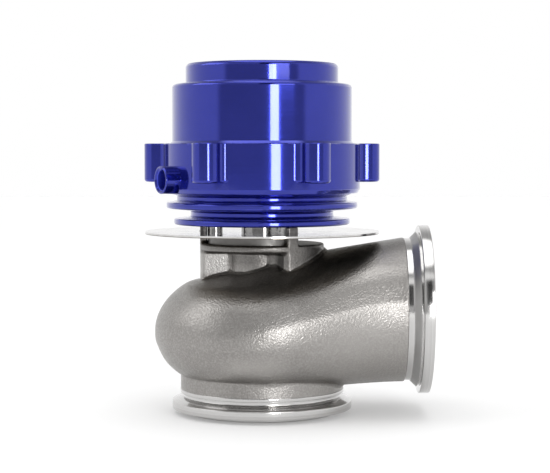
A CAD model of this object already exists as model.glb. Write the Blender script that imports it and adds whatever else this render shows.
"""Looks of the turbo wastegate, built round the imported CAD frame. Metres, +Z up, front is -Y."""
import math

import bmesh
import bpy
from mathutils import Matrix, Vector
from mathutils.bvhtree import BVHTree

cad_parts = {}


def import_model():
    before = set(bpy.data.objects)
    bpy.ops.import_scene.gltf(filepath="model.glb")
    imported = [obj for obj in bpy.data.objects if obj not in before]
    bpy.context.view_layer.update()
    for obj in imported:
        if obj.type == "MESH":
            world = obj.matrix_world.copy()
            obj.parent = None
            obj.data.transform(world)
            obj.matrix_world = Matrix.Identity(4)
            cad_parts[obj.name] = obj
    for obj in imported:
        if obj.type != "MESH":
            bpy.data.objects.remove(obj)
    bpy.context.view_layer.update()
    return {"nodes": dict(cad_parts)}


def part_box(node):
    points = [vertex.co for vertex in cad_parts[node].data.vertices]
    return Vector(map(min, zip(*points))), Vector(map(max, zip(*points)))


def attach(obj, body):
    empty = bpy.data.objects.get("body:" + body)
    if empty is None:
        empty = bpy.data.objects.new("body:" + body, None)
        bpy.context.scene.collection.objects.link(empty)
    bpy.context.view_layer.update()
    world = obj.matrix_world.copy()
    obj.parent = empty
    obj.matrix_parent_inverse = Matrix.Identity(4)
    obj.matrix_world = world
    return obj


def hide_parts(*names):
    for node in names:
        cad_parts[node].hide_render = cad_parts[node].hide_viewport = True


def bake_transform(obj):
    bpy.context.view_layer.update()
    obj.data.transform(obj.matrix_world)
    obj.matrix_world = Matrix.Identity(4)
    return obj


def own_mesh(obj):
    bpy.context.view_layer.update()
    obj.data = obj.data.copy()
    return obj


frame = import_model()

MM = 0.001
PER_MM = 1000
TAU = 2 * math.pi
MIDDLE = (0.3, 0.7)  # where most of a noise texture's values lie
WHOLE = (0.7, 1.3)  # where most of the sum of two of them lies


# ---- node helpers -------------------------------------------------------------------------------
class Tree:
    """Short names for building a node tree. A value is a number, a colour or a node's output."""

    def __init__(self, tree):
        self.tree = tree

    def add(self, kind, **inputs):
        node = self.tree.nodes.new("ShaderNode" + kind)
        for key, value in inputs.items():
            self.put(node.inputs[key.replace("_", " ")], value)
        return node

    def put(self, socket, value):
        if hasattr(value, "is_linked"):
            self.tree.links.new(value, socket)
        else:
            socket.default_value = value

    def math(self, operation, first, second=0.0):
        node = self.add("Math")
        node.operation = operation
        self.put(node.inputs[0], first)
        self.put(node.inputs[1], second)
        return node.outputs[0]

    def product(self, first, *others):
        for value in others:
            first = self.math("MULTIPLY", first, value)
        return first

    def vector_math(self, operation, first, second=(0, 0, 0)):
        node = self.add("VectorMath")
        node.operation = operation
        self.put(node.inputs[0], first)
        self.put(node.inputs[1], second)
        return node.outputs

    def split(self, vector):
        return self.add("SeparateXYZ", Vector=vector).outputs

    def ranged(self, value, low, high, new_low, new_high, way="LINEAR"):
        node = self.add("MapRange")
        node.interpolation_type = way
        for socket, item in zip(node.inputs, (value, low, high, new_low, new_high)):
            self.put(socket, item)
        return node.outputs[0]

    def rise(self, value, low, high):
        return self.ranged(value, low, high, 0, 1)

    def fall(self, value, low, high):
        return self.ranged(value, low, high, 1, 0)

    def mix(self, factor, first, second):
        node = self.add("Mix")
        node.data_type = "RGBA"
        for place, value in ((0, factor), (6, first), (7, second)):
            self.put(node.inputs[place], value)
        return node.outputs[2]


class Nodes(Tree):
    """A new material's node tree, read in the object's own coordinates."""

    def __init__(self, name):
        self.material = bpy.data.materials.new(name)
        self.material.use_nodes = True
        super().__init__(self.material.node_tree)
        self.shader = self.tree.nodes["Principled BSDF"]
        self.coords = self.add("TexCoord").outputs["Object"]

    def set(self, **inputs):
        for key, value in inputs.items():
            self.put(self.shader.inputs[key.replace("_", " ")], value)

    def noise(self, scale, detail, rough, coords=None, distortion=0.0):
        node = self.add("TexNoise", Scale=scale, Detail=detail, Roughness=rough,
                        Distortion=distortion, Vector=coords or self.coords)
        return node.outputs["Fac"]

    def voronoi(self, scale):
        return self.add("TexVoronoi", Scale=scale, Vector=self.coords).outputs["Distance"]

    def bump(self, height, strength, distance, below=None):
        node = self.add("Bump", Height=height, Strength=strength, Distance=distance)
        if below is not None:
            self.put(node.inputs["Normal"], below)
        return node.outputs["Normal"]

    def radius_from(self, axis, offset=(0, 0, 0)):
        """Distance from a line along X or Z through the offset, and the distance along it."""
        x, y, z = self.split(self.vector_math("SUBTRACT", self.coords, offset)[0])
        along, across = (z, x) if axis == "Z" else (x, z)
        square = self.math("ADD", self.product(across, across), self.product(y, y))
        return self.math("SQRT", square), along

    def line_from(self, start, way):
        """Distance from the line through start in the direction way, and the distance along it."""
        moved = self.vector_math("SUBTRACT", self.coords, start)[0]
        beside = self.vector_math("CROSS_PRODUCT", moved, way)[0]
        along = self.vector_math("DOT_PRODUCT", moved, way)["Value"]
        return self.vector_math("LENGTH", beside)["Value"], along

    def turning(self, radius, along, pitch, scale, detail, rough):
        """Lines round an axis, as a tool leaves them on a lathe."""
        both = self.add("CombineXYZ", X=self.product(radius, pitch), Y=self.product(along, pitch))
        return self.noise(scale, detail, rough, both.outputs[0])


def grey(value, warm=0.0):
    return (value * (1 + warm), value, value * (1 - warm), 1)


# ---- materials ----------------------------------------------------------------------------------
BLUE_DEEP = (0.015, 0.025, 0.30, 1)
BLUE_LIGHT = (0.021, 0.031, 0.335, 1)
BLUE_DRILLED = (0.05, 0.075, 0.62, 1)
BRONZE_DARK = (0.50, 0.29, 0.11, 1)
BRONZE_LIGHT = (0.62, 0.38, 0.16, 1)
SOOT = (0.10, 0.085, 0.065, 1)

PORT_RADIUS = 3.7  # air port's bore, in millimetres
PORT_START = 26  # where it starts, from the actuator's axis
CAP_TOP = (124.0, 124.3)  # where the lid's side turns into its top


def anodised(name, port_angle, port_height):
    """Deep blue anodised aluminium: mirror-turned metal with faint lines under a clear skin.
    The bore of its air port is left as drilled, so it is rougher and lighter, and the lid's top
    is matt and has no clear skin."""
    n = Nodes(name)
    way = (math.cos(math.radians(port_angle)), math.sin(math.radians(port_angle)), 0)
    beside, outward = n.line_from((0, 0, port_height * MM), way)
    bore = n.product(n.math("LESS_THAN", beside, PORT_RADIUS * MM),
                     n.math("GREATER_THAN", outward, PORT_START * MM))
    cloud = n.noise(60, 3, 0.6)
    radius, along = n.radius_from("Z")
    turned = n.turning(radius, along, 9000, scale=0.6, detail=2, rough=0.7)
    colour = n.mix(n.rise(cloud, *MIDDLE), BLUE_DEEP, BLUE_LIGHT)
    colour = n.mix(bore, colour, BLUE_DRILLED)
    top = n.rise(along, *(height * MM for height in CAP_TOP))
    rough = n.math("ADD", n.ranged(turned, *MIDDLE, 0.09, 0.15), n.product(bore, 0.4))
    rough = n.math("ADD", rough, n.product(top, 0.3))
    n.set(Base_Color=colour, Metallic=0.86, Roughness=rough)
    n.set(Coat_Weight=n.product(n.math("SUBTRACT", 1, top), 0.65), Coat_Roughness=0.04)
    n.set(Normal=n.bump(turned, strength=0.04, distance=0.02 * MM))
    return n.material


def cast_steel(name):
    """Bead-blasted stainless casting: a fine sparkling grain over soft foundry unevenness.
    The patches are paler or darker places of its surface, bounded in millimetres."""
    n = Nodes(name)
    grain = n.noise(1500, 1.5, 0.6)
    pits = n.voronoi(1900)
    blotch = n.noise(45, 4, 0.6, distortion=0.4)
    fine = n.noise(420, 3, 0.65)
    x, y, z = n.split(n.vector_math("MULTIPLY", n.coords, (PER_MM, PER_MM, PER_MM))[0])
    aside = n.math("ABSOLUTE", y)

    def under(value, limit):
        return n.math("LESS_THAN", value, limit)

    tone = n.mix(n.rise(blotch, *MIDDLE), grey(0.255, 0.045), grey(0.30, 0.04))
    tone = n.mix(n.ranged(grain, 0.42, 0.72, 0, 0.4), tone, grey(0.48, 0.035))
    patches = (
        # outlet tube
        (0.4, grey(0.42, 0.04), n.rise(x, 12, 30)),
        # belly's upper shoulder
        (0.75, grey(0.52, 0.04), n.rise(z, 38.5, 42.5), n.fall(z, 44.5, 48.5),
         n.rise(x, -30, -18), n.fall(x, -2, 8)),
        # belly's underside
        (0.5, grey(0.46, 0.04), n.rise(z, 13, 17), n.fall(z, 20, 25),
         n.rise(x, -16, -8), n.fall(x, 2, 12)),
        # mount tower
        (0.4, grey(0.02, 0.06), n.rise(z, 51.5, 54.5)),
        # flank of the tower's rib, away from the outlet
        (1.0, grey(0.40, 0.03), under(aside, 6.3), n.fall(x, -12.6, -11.8),
         n.fall(z, 56.8, 57.6), n.rise(z, 49.5, 50.5)),
        # pocket between the tower's core and its outlet-side pillars
        (0.85, grey(0.03, 0.06), n.rise(x, 4.2, 6), under(x, 9.4), under(aside, 18.5),
         under(z, 57.8), n.rise(z, 50, 52.5)),
        # foot
        (0.02, grey(0.05, 0.03), n.fall(z, 8, 30)),
    )
    for strength, patch_tone, *bounds in patches:
        tone = n.mix(n.product(strength, *bounds), tone, patch_tone)
    rough = n.ranged(n.math("ADD", fine, grain), *WHOLE, 0.43, 0.30)
    n.set(Base_Color=tone, Metallic=1.0, Roughness=rough)
    normal = None
    reliefs = ((blotch, 0.2, 0.6), (fine, 0.3, 0.12), (grain, 0.9, 0.16), (pits, 0.35, 0.09))
    for height, strength, depth in reliefs:
        normal = n.bump(height, strength, depth * MM, normal)
    n.set(Normal=normal)
    return n.material


def turned_steel(name, axis="Z", offset=(0, 0, 0), base=0.62, rough=0.2, depth=0.25):
    """Lathe-turned stainless: fine grooves round the axis, on a surface with soft smears."""
    n = Nodes(name)
    groove = n.turning(*n.radius_from(axis, offset), 5200, scale=1.0, detail=3, rough=0.7)
    smear = n.noise(120, 3, 0.6)
    tone = n.mix(n.rise(groove, 0.35, 0.65), grey(base * 0.9, 0.015), grey(base * 1.08, 0.01))
    spread = n.ranged(n.math("ADD", groove, smear), *WHOLE, rough * 0.7, rough * 1.35)
    n.set(Base_Color=tone, Metallic=1.0, Roughness=spread)
    n.set(Normal=n.bump(groove, depth, 0.03 * MM))
    return n.material


def polished_steel(name, sooted_below=None, base=0.62):
    """Bright polished stainless with light handling marks, heat-darkened below a height."""
    n = Nodes(name)
    radius, along = n.radius_from("Z")
    ring = n.turning(radius, along, 2500, scale=1.0, detail=2, rough=0.6)
    marks = n.noise(160, 4, 0.7, distortion=1.0)
    tone = n.mix(n.rise(marks, 0.4, 0.7), grey(base * 1.06, 0.01), grey(base * 0.92, 0.02))
    if sooted_below is not None:
        tone = n.mix(n.math("LESS_THAN", along, sooted_below * MM), tone, SOOT)
    n.set(Base_Color=tone, Metallic=1.0, Roughness=n.ranged(marks, 0.35, 0.75, 0.07, 0.15))
    n.set(Normal=n.bump(ring, strength=0.05, distance=0.02 * MM))
    return n.material


def plain_metal(name, base, rough, grain_scale=900, warm=0.0):
    """Metal with a fine even grain and slightly clouded tone."""
    n = Nodes(name)
    grain = n.noise(grain_scale, 3, 0.6)
    cloud = n.noise(90, 3, 0.6)
    tone = n.mix(n.rise(cloud, *MIDDLE), grey(base * 0.82, warm), grey(base * 1.12, warm))
    n.set(Base_Color=tone, Metallic=1.0)
    n.set(Roughness=n.ranged(grain, *MIDDLE, rough * 0.8, rough * 1.3))
    n.set(Normal=n.bump(grain, strength=0.2, distance=0.04 * MM))
    return n.material


def bronze(name):
    n = Nodes(name)
    grain = n.noise(1200, 3, 0.6)
    tone = n.mix(n.rise(grain, *MIDDLE), BRONZE_DARK, BRONZE_LIGHT)
    n.set(Base_Color=tone, Metallic=1.0, Roughness=n.ranged(grain, *MIDDLE, 0.22, 0.36))
    n.set(Normal=n.bump(grain, strength=0.2, distance=0.03 * MM))
    return n.material


def rubber(name, colour, rough=0.6, weave=0.0):
    """Matt rubber, with the weave of its cloth showing through where a weave is given."""
    n = Nodes(name)
    grain = n.noise(1500, 3, 0.6)
    darker = tuple(value * 0.7 for value in colour[:3]) + (1,)
    n.set(Base_Color=n.mix(n.rise(grain, *MIDDLE), darker, colour))
    n.set(Roughness=n.ranged(grain, *MIDDLE, rough - 0.08, rough + 0.1))
    normal = n.bump(grain, strength=0.3, distance=0.05 * MM)
    if weave:
        x, y, z = n.split(n.coords)
        threads = [n.math("SINE", n.product(value, weave)) for value in (x, y)]
        normal = n.bump(n.product(*threads), 0.4, 0.1 * MM, normal)
    n.set(Normal=normal)
    return n.material


# ---- mesh helpers -------------------------------------------------------------------------------
def new_object(name, mesh, material, sharp=35):
    """A piece with one material, smooth but for edges past the sharp angle. 0 changes nothing."""
    piece = bpy.data.objects.new(name, mesh)
    bpy.context.collection.objects.link(piece)
    mesh.materials.clear()
    mesh.materials.append(material)
    if sharp:
        mesh.shade_smooth()
        mesh.set_sharp_from_angle(angle=math.radians(sharp))
    return piece


def bridge(bm, one, two):
    """Faces between two closed rings with the same number of vertices."""
    for k in range(len(one)):
        after = (k + 1) % len(one)
        bm.faces.new((one[k], two[k], two[after], one[after]))


def to_mesh(bm, name):
    bmesh.ops.recalc_face_normals(bm, faces=bm.faces)
    mesh = bpy.data.meshes.new(name)
    bm.to_mesh(mesh)
    bm.free()
    return mesh


def lathe(name, profile, material, axis="Z", offset=(0, 0, 0), segments=180):
    """Closed outline of (radius, height) in millimetres spun about an axis."""
    bm = bmesh.new()
    rings = []
    for step in range(segments):
        turn = TAU * step / segments
        ring = []
        for radius, height in profile:
            if axis == "Z":
                point = (radius * math.cos(turn), radius * math.sin(turn), height)
            else:
                point = (height, radius * math.cos(turn), radius * math.sin(turn))
            place = [(value + shift) * MM for value, shift in zip(point, offset)]
            ring.append(bm.verts.new(place))
        rings.append(ring)
    for step in range(segments):
        bridge(bm, rings[step], rings[(step + 1) % segments])
    bmesh.ops.remove_doubles(bm, verts=bm.verts, dist=1e-7)
    return new_object(name, to_mesh(bm, name), material)


def rounded(corners, steps=4):
    """Corners are (radius, height, rounding). The outline, with each corner as a short arc."""
    outline = []
    count = len(corners)
    for k, (radius, height, rounding) in enumerate(corners):
        point = Vector((radius, height))
        if not rounding:
            outline.append((point.x, point.y))
            continue
        back = (Vector(corners[k - 1][:2]) - point).normalized()
        ahead = (Vector(corners[(k + 1) % count][:2]) - point).normalized()
        half = back.angle(ahead) / 2
        centre = point + (back + ahead).normalized() * (rounding / math.sin(half))
        first = point + back * (rounding / math.tan(half)) - centre
        last = point + ahead * (rounding / math.tan(half)) - centre
        sweep = first.angle_signed(last)
        for step in range(steps + 1):
            angle = -sweep * step / steps
            arm = Vector((
                first.x * math.cos(angle) - first.y * math.sin(angle),
                first.x * math.sin(angle) + first.y * math.cos(angle),
            ))
            outline.append((centre.x + arm.x, centre.y + arm.y))
    return outline


def copy_node(node, name, material, sharp=35):
    """A new piece that starts from a CAD node's own mesh and takes that node's place."""
    piece = new_object(name, frame["nodes"][node].data.copy(), material, sharp)
    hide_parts(node)
    return piece


def modify(piece, kind, **settings):
    """Put one modifier on a piece and apply it."""
    modifier = piece.modifiers.new(kind.lower(), kind)
    for key, value in settings.items():
        setattr(modifier, key, value)
    graph = bpy.context.evaluated_depsgraph_get()
    mesh = bpy.data.meshes.new_from_object(piece.evaluated_get(graph))
    piece.modifiers.clear()
    piece.data = mesh


def remesh(piece, voxel):
    modify(piece, "REMESH", mode="VOXEL", voxel_size=voxel * MM, use_smooth_shade=True)


def grow(piece, distance):
    modify(piece, "DISPLACE", direction="NORMAL", mid_level=0, strength=distance * MM)


def smooth(piece, factor, times, group=""):
    modify(piece, "SMOOTH", vertex_group=group, factor=factor, iterations=times)


def cut_flat(piece, point, normal):
    """Cut away what lies on the normal's side of a plane and close the cut."""
    bm = bmesh.new()
    bm.from_mesh(piece.data)
    whole = bm.verts[:] + bm.edges[:] + bm.faces[:]
    cut = bmesh.ops.bisect_plane(
        bm, geom=whole, plane_co=point, plane_no=normal, clear_outer=True)
    edges = [item for item in cut["geom_cut"] if isinstance(item, bmesh.types.BMEdge)]
    bmesh.ops.triangle_fill(bm, edges=edges, use_beauty=True)
    bmesh.ops.recalc_face_normals(bm, faces=bm.faces)
    bm.to_mesh(piece.data)
    bm.free()


# ---- the casting and its rings, in millimetres --------------------------------------------------
INLET_SPLIT = 8.6  # the casting ends here and the inlet's machined ring begins
OUTLET_SPLIT = 50.7
OUTLET_AXIS = 36.8  # height of the outlet's axis
LAND_END = 12.8
CAST_RADIUS = 1.0
SHOULDER_SINK = 1.8  # beside the tower, on the side away from the outlet
SHOULDER_SWELL = 3.6  # between the tower's core and its outlet-side pillars
BELLY_FULLNESS = 1.3
COARSE, FINE = 0.5, 0.42  # voxels while the corners are rounded, and after
CLOSE, FAR = 0.25, 0.5  # gaps to the CAD surface: moved on to it below, left where it is above
KEPT_FACES = 0.55  # share of the remeshed faces
CAST_SHARP = 60  # degrees


def step(value, low, high):
    """0 below low, 1 above high and a smooth rise between them."""
    share = min(max((value - low) / (high - low), 0), 1)
    return share * share * (3 - 2 * share)


def on_seam(x, y, z):
    """The creases where the two halves of the loft meet, front and back."""
    return (1 - step(abs(x), 2, 9)) * step(abs(y), 21, 24) * step(z, 12, 14)


def shoulder_rise(x, y, z):
    """How far the shoulder under the tower is lifted or sunk."""
    sink = step(x, -34, -21) * (1 - step(x, -7, 2)) * step(z, 45, 51)
    swell = step(x, 1, 10) * (1 - step(x, 11, 16)) * (1 - step(abs(y), 13, 18.5)) * step(z, 42, 48)
    tower = step(z, 54, 57)
    return (1 - tower) * (SHOULDER_SWELL * swell - SHOULDER_SINK * sink)


def belly_push(x, y, z):
    """How far the belly is pushed out, away from the middle plane."""
    full = step(x, -36, -14) * (1 - step(x, 2, 18)) * step(z, 34, 46) * (1 - step(z, 47, 53))
    return BELLY_FULLNESS * full * step(abs(y), 14, 26) * math.copysign(1, y)


def casting():
    """The cast body with foundry radii in its corners. Its machined ends are separate rings."""
    piece = copy_node("valve_body", "casting", cast_steel("cast_steel"), 0)
    solid = BVHTree.FromObject(piece, bpy.context.evaluated_depsgraph_get())
    remesh(piece, COARSE)
    grow(piece, CAST_RADIUS)
    remesh(piece, COARSE)
    grow(piece, -CAST_RADIUS)
    remesh(piece, FINE)
    smooth(piece, 0.5, 3)
    for vertex in piece.data.vertices:
        place, normal, face, gap = solid.find_nearest(vertex.co)
        vertex.co = place.lerp(vertex.co, step(gap / MM, CLOSE, FAR))
    smooth(piece, 0.3, 2)
    seam = piece.vertex_groups.new(name="seam")
    for vertex in piece.data.vertices:
        near = on_seam(*(value / MM for value in vertex.co))
        if near:
            seam.add([vertex.index], near, "REPLACE")
    smooth(piece, 0.5, 60, "seam")
    for vertex in piece.data.vertices:
        x, y, z = (value / MM for value in vertex.co)
        vertex.co.z += MM * shoulder_rise(x, y, z)
        vertex.co.y += MM * belly_push(x, y, z)
    cut_flat(piece, (0, 0, INLET_SPLIT * MM), (0, 0, -1))
    cut_flat(piece, (OUTLET_SPLIT * MM, 0, 0), (1, 0, 0))
    modify(piece, "DECIMATE", ratio=KEPT_FACES)
    piece.data.shade_smooth()
    piece.data.set_sharp_from_angle(angle=math.radians(CAST_SHARP))
    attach(piece, "housing")


def inlet_flange():
    """The V-band rim under the body, with a small machined lip where the casting begins."""
    corners = [
        (24.65, 9.0, 0), (24.65, 4.0, 0), (27.25, 4.0, 0), (27.25, 1.6, 0.15),
        (32.25, 1.6, 0.3), (32.25, 4.5, 0.3), (28.2, 6.0, 0.4), (28.2, 7.3, 0.15),
        (29.35, 7.3, 0.2), (29.35, 8.65, 0.2), (28.9, 8.65, 0), (28.9, 9.0, 0),
    ]
    steel = turned_steel("turned_inlet", base=0.55, rough=0.12, depth=0.15)
    piece = lathe("inlet_flange_ring", rounded(corners), steel)
    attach(piece, "housing")


def outlet_flange():
    """The V-band rim at the side. Its flare, from the casting up to the rim, is left matt."""
    corners = [
        (22.2, 59.6, 0.25), (30.1, 59.6, 0.3), (30.1, 55.9, 0.3), (27.1, 55.9, 0),
        (27.1, 55.35, 0), (27.8, 55.2, 0.12), (25.5, 52.9, 1.2), (25.5, 50.9, 0.2),
        (25.2, 50.3, 0), (22.2, 50.3, 0),
    ]
    flare_start, flare_end = 52.4, 55.88
    centre = (0, 0, OUTLET_AXIS * MM)
    steel = turned_steel("turned_outlet", "X", centre, base=0.56, rough=0.12, depth=0.15)
    flare = turned_steel("turned_flare", "X", centre, base=0.40, rough=0.42)
    piece = lathe("outlet_flange_ring", rounded(corners), steel, "X", (0, 0, OUTLET_AXIS))
    piece.data.materials.append(flare)
    for face in piece.data.polygons:
        if flare_start < face.center.x / MM < flare_end and face.normal.x < -0.3:
            face.material_index = 1
    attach(piece, "housing")


def land_ring():
    """The shield's raised land, cut short at the wall between the outlet-side pillars."""
    finish = plain_metal("ground_steel", 0.16, 0.36, 700, 0.03)
    piece = copy_node("shield_land_ring", "land_ring", finish)
    cut_flat(piece, (LAND_END * MM, 0, 0), (1, 0, 0))
    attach(piece, "housing")


def spring(node, name, coil_radius, wire, turns, material):
    """Wire swept along a helix with closed, flat-ground ends. It shortens as the valve lifts."""
    low, high = (value * PER_MM for value in (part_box(node)[0][2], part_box(node)[1][2]))
    around, along = 14, 36  # vertices round the wire, and rings in a turn
    closed = wire + 0.06  # rise of the first and the last turn
    start, stop = low + 0.25 * wire, high - 0.25 * wire
    pitch = (stop - start - 2 * closed) / (turns - 2)
    bm = bmesh.new()
    rings = []
    for step in range(int(turns * along) + 1):
        turn = step / along
        height = start + closed * min(turn, 1) + pitch * max(0, min(turn, turns - 1) - 1)
        height += closed * max(0, turn - (turns - 1))
        ring = []
        for k in range(around):
            angle = TAU * k / around
            radius = coil_radius + wire / 2 * math.cos(angle)
            level = min(max(height + wire / 2 * math.sin(angle), low), high)
            place = (radius * math.cos(TAU * turn), radius * math.sin(TAU * turn), level)
            ring.append(bm.verts.new([value * MM for value in place]))
        rings.append(ring)
    for one, two in zip(rings, rings[1:]):
        bridge(bm, one, two)
    bm.faces.new(rings[0][::-1])
    bm.faces.new(rings[-1])
    piece = new_object(name, to_mesh(bm, name), material, 50)
    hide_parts(node)
    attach(piece, "housing")
    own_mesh(piece)


def rolling_diaphragm():
    """The diaphragm's bead stays with the housing, and its middle rises with the piston."""
    cloth = rubber("diaphragm_cloth", (0.30, 0.05, 0.03, 1), 0.55, 5200)
    piece = copy_node("diaphragm", "rolling_diaphragm", cloth)
    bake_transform(piece)


# ---- finishes of the pieces that keep their CAD shape -------------------------------------------
def finishes():
    looks = {
        "valve_seat_ring": turned_steel("turned_seat", base=0.54, rough=0.14, depth=0.15),
        "valve": turned_steel("turned_valve", base=0.5, rough=0.24),
        "stem_guide": polished_steel("polished_guide", base=0.3),
        "guide_liner": bronze("bronze"),
        "guide_o_ring": rubber("seal_rubber", (0.02, 0.02, 0.02, 1)),
        "stem_seal": rubber("lip_rubber", (0.025, 0.022, 0.02, 1)),
        "seal_circlip": plain_metal("circlip_steel", 0.12, 0.35),
        "heat_shield": polished_steel("polished_shield", sooted_below=64.3),
        "post_sleeves": polished_steel("polished_sleeves", base=0.36),
        "mount_screws": plain_metal("black_oxide_mount", 0.035, 0.4, 1300),
        "mount_screw_washers": turned_steel("washer_steel"),
        "actuator_base": anodised("blue_anodised_base", port_angle=210, port_height=83.45),
        "actuator_lid": anodised("blue_anodised_lid", port_angle=90, port_height=105),
        "lid_screws": plain_metal("black_oxide_lid", 0.035, 0.4, 1300),
        "diaphragm_clamp_plate": turned_steel("turned_plate", base=0.66),
        "piston": turned_steel("turned_piston", base=0.66),
        "piston_washer": turned_steel("turned_washer"),
        "stem_nut": plain_metal("nut_steel", 0.45, 0.28),
        "upper_spring_seat": turned_steel("turned_spring_seat", base=0.66),
    }
    for node, material in looks.items():
        for place in frame["nodes"][node].material_slots:
            place.link = "OBJECT"
            place.material = material


# ---- floor, light and camera --------------------------------------------------------------------
FLOOR_REACH = 3.0
FLOOR_LEVEL = -0.0002  # just under the inlet, so the two never share a plane
FLOOR_TONE = 0.82
FLOOR_LIFT = 0.19  # what the floor's seen tone lacks to be white under these lamps

# Sky tones by height above the horizon in degrees: the walls all round, and the room's end behind
# the camera.
WALLS = ((-90, 0.9), (-8, 1.0), (25, 1.0), (50, 0.5), (62, 0.5), (68, 2.3), (90, 2.3))
ROOM_END = ((-90, 0.45), (5, 0.45), (14, 0.62), (42, 0.62), (48, 1.2), (62, 1.2), (68, 2.3),
            (90, 2.3))
ROOM_END_FROM, ROOM_END_TO = -0.50, -0.62  # share of the view direction that points along Y
FIGURE_ACROSS = (-4, 14)  # the dark figure at the camera, in degrees to the right and up
FIGURE_UP = (9, 46)
FIGURE_EDGE = 0.04
FIGURE_TONE = 0.05

EYE = (4.66, -573.6, 92.1)  # level with the top of the actuator's base, a little right of the axis
EYE_DOWN = 2.916  # degrees below the level
FOCAL_LENGTH = 104.727  # on a sensor 36 mm wide


def floor():
    mesh = bpy.data.meshes.new("floor")
    corners = [(x * FLOOR_REACH, y * FLOOR_REACH, FLOOR_LEVEL)
               for x, y in ((-1, -1), (1, -1), (1, 1), (-1, 1))]
    mesh.from_pydata(corners, [], [(0, 1, 2, 3)])
    n = Nodes("pale_floor")
    path = n.add("LightPath").outputs
    seen = n.math("MAXIMUM", path["Is Camera Ray"], path["Is Glossy Ray"])
    seen = n.math("MAXIMUM", seen, path["Is Transmission Ray"])
    n.set(Base_Color=grey(FLOOR_TONE), Roughness=0.8)
    n.set(Emission_Color=grey(1.0), Emission_Strength=n.product(seen, FLOOR_LIFT))
    ground = new_object("floor", mesh, n.material, 0)


def sine(degrees):
    return math.sin(math.radians(degrees))


def world():
    """White studio walls, with the dark end of the room behind the camera and a panel over it."""
    studio = bpy.data.worlds.new("studio")
    bpy.context.scene.world = studio
    studio.use_nodes = True
    studio.node_tree.nodes.clear()
    n = Tree(studio.node_tree)

    def levels(height, bands):
        """A grey that follows the sine of the height above the horizon through its bands."""
        ramp = n.add("ValToRGB", Fac=height)
        elements = ramp.color_ramp.elements
        while len(elements) < len(bands):
            elements.new(0.5)
        for element, (degrees, tone) in zip(elements, bands):
            element.position = (1 + sine(degrees)) / 2
            element.color = grey(tone)
        return ramp.outputs["Color"]

    def between(value, low, high):
        """1 where the value lies from low to high, with soft edges."""
        low, high = sine(low), sine(high)
        return n.product(n.rise(value, low, low + FIGURE_EDGE),
                         n.rise(value, high, high - FIGURE_EDGE))

    x, y, z = n.split(n.add("TexCoord").outputs["Generated"])
    height = n.rise(z, -1.0, 1.0)
    front = n.ranged(y, ROOM_END_FROM, ROOM_END_TO, 0, 1, way="SMOOTHSTEP")
    room = n.mix(front, levels(height, WALLS), levels(height, ROOM_END))
    figure = n.product(between(z, *FIGURE_UP), between(x, *FIGURE_ACROSS), front)
    shade = n.add("Background", Color=n.mix(figure, room, grey(FIGURE_TONE)), Strength=1.0)
    n.add("OutputWorld", Surface=shade.outputs[0])


def softbox(name, azimuth, elevation, wide, tall, radiance, distance=1.0, target=(0, 0, 0.06)):
    """A lamp so many degrees to the right of the front and up, as wide and tall as it is seen."""
    turn, rise = math.radians(azimuth), math.radians(elevation)
    level = math.cos(rise)
    way = Vector((math.sin(turn) * level, -math.cos(turn) * level, math.sin(rise)))
    lamp = bpy.data.lights.new(name, "AREA")
    lamp.shape = "RECTANGLE"
    lamp.size = 2 * distance * math.tan(math.radians(wide / 2))
    lamp.size_y = 2 * distance * math.tan(math.radians(tall / 2))
    lamp.energy = radiance * math.pi * lamp.size * lamp.size_y
    holder = bpy.data.objects.new(name, lamp)
    holder.location = Vector(target) + way * distance
    holder.rotation_euler = way.to_track_quat("Z", "Y").to_euler()
    bpy.context.collection.objects.link(holder)


def camera():
    eye = bpy.data.cameras.new("camera")
    eye.sensor_width = 36
    eye.lens = FOCAL_LENGTH
    eye.clip_start, eye.clip_end = 0.01, 20
    holder = bpy.data.objects.new("camera", eye)
    holder.location = [value * MM for value in EYE]
    holder.rotation_euler = (math.radians(90 - EYE_DOWN), 0, 0)
    bpy.context.collection.objects.link(holder)
    bpy.context.scene.camera = holder


casting()
inlet_flange()
outlet_flange()
land_ring()
spring_finish = plain_metal("spring_steel", 0.16, 0.38, 1500)
spring("outer_spring", "outer_coil", 19.5, 3.2, 6.5, spring_finish)
spring("inner_spring", "inner_coil", 13.0, 2.4, 7.5, spring_finish)
rolling_diaphragm()
finishes()
floor()
world()
softbox("strip", azimuth=16, elevation=1, wide=10.5, tall=17, radiance=16)
softbox("key", azimuth=29, elevation=16, wide=24, tall=20, radiance=3.3)
softbox("left_fill", azimuth=-84, elevation=35, wide=34, tall=26, radiance=1.6)
camera()
bpy.context.scene.view_settings.view_transform = "Standard"
